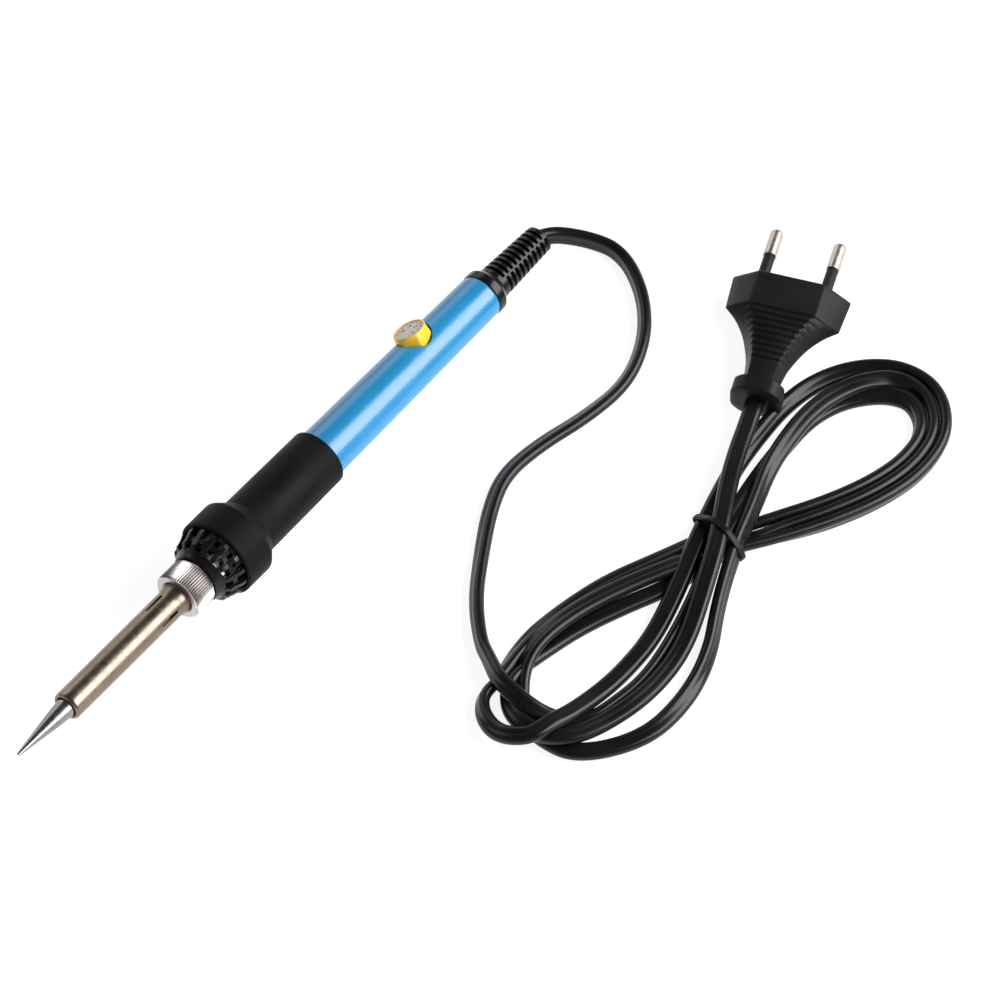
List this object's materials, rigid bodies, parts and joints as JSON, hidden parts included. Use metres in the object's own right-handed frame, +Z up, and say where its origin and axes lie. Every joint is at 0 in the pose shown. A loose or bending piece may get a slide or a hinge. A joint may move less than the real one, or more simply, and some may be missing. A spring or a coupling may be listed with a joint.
{
  "type": "soldering iron",
  "caption": "Pencil soldering iron with a conical tip in a steel barrel, knurled nut, vented cage, soft grip, tapered handle with a temperature knob, cord boot and tied flat cord with plug.",
  "frame": {"origin": "on the table under the middle of the iron, which rests on the grip's flange and the rear cap", "axes": "+X from the tip towards the cord, +Z up"},
  "size_m": [0.2881, 0.1466, 0.0255],
  "materials": {
    "tip_plating": "satin",
    "barrel_steel": "satin",
    "nut_metal": "satin",
    "steel": "satin",
    "ceramic": "matt",
    "glass_fibre": "matt",
    "black_nylon": "gloss",
    "grip_rubber": "matt",
    "blue_plastic": "satin",
    "yellow_plastic": "satin",
    "dial_grey": "matt",
    "cord_pvc": "satin",
    "plug_pvc": "satin",
    "board": "satin",
    "component": "satin",
    "film": "gloss",
    "copper": "satin",
    "nickel_brass": "satin"
  },
  "bodies": {
    "handle": {"threaded_boss": "steel", "boss_screws": "steel", "heater_rod": "ceramic", "heater_collar": "ceramic", "heater_leads": "steel", "lead_sleeves": "glass_fibre", "front_cage": "black_nylon", "core_tube": "black_nylon", "grip_sleeve": "grip_rubber", "handle_tube": "blue_plastic", "circuit_board": "board", "pot_body": "component", "triac": "component", "film_capacitor": "film", "resistors": "component", "diac": "component", "rear_cap": "black_nylon", "strain_relief": "cord_pvc", "cord_clamp": "black_nylon", "cord_tail": "cord_pvc", "mains_cores": "copper", "power_cord": "cord_pvc", "cord_bundle": "cord_pvc", "cord_tie": "plug_pvc", "plug_lead": "cord_pvc", "plug_body": "plug_pvc", "plug_bridge": "component", "plug_pins": "nickel_brass", "pin_sleeves": "plug_pvc", "crimp_terminals": "nickel_brass", "plug_cores": "copper"},
    "barrel": {"barrel_tube": "barrel_steel"},
    "nut": {"lock_nut": "nut_metal"},
    "tip": {"soldering_tip": "tip_plating"},
    "knob": {"temperature_knob": "yellow_plastic", "knob_dial": "dial_grey", "pot_spindle": "steel"}
  },
  "joints": [
    {"name": "barrel_slide", "type": "slide", "parent": "handle", "child": "barrel", "axis": [-0.9988, 0, 0.0485], "range_m": [0, 0.005]},
    {"name": "nut_turn", "type": "hinge", "parent": "barrel", "child": "nut", "pos_m": [-0.04364, 0, 0.01369], "axis": [-0.9988, 0, 0.0485], "range_deg": [0, 1800]},
    {"name": "tip_turn", "type": "hinge", "parent": "barrel", "child": "tip", "pos_m": [-0.08859, 0, 0.01588], "axis": [-0.9988, 0, 0.0485], "continuous": true},
    {"name": "knob_turn", "type": "hinge", "parent": "handle", "child": "knob", "pos_m": [0.06498, 0.00529, 0.01558], "axis": [0.039, 0.5948, 0.8029], "range_deg": [-135, 135]}
  ],
  "couplings": [
    {"joint": "nut_turn", "follows": "barrel_slide", "rad_per_m": 6283.2}
  ]
}
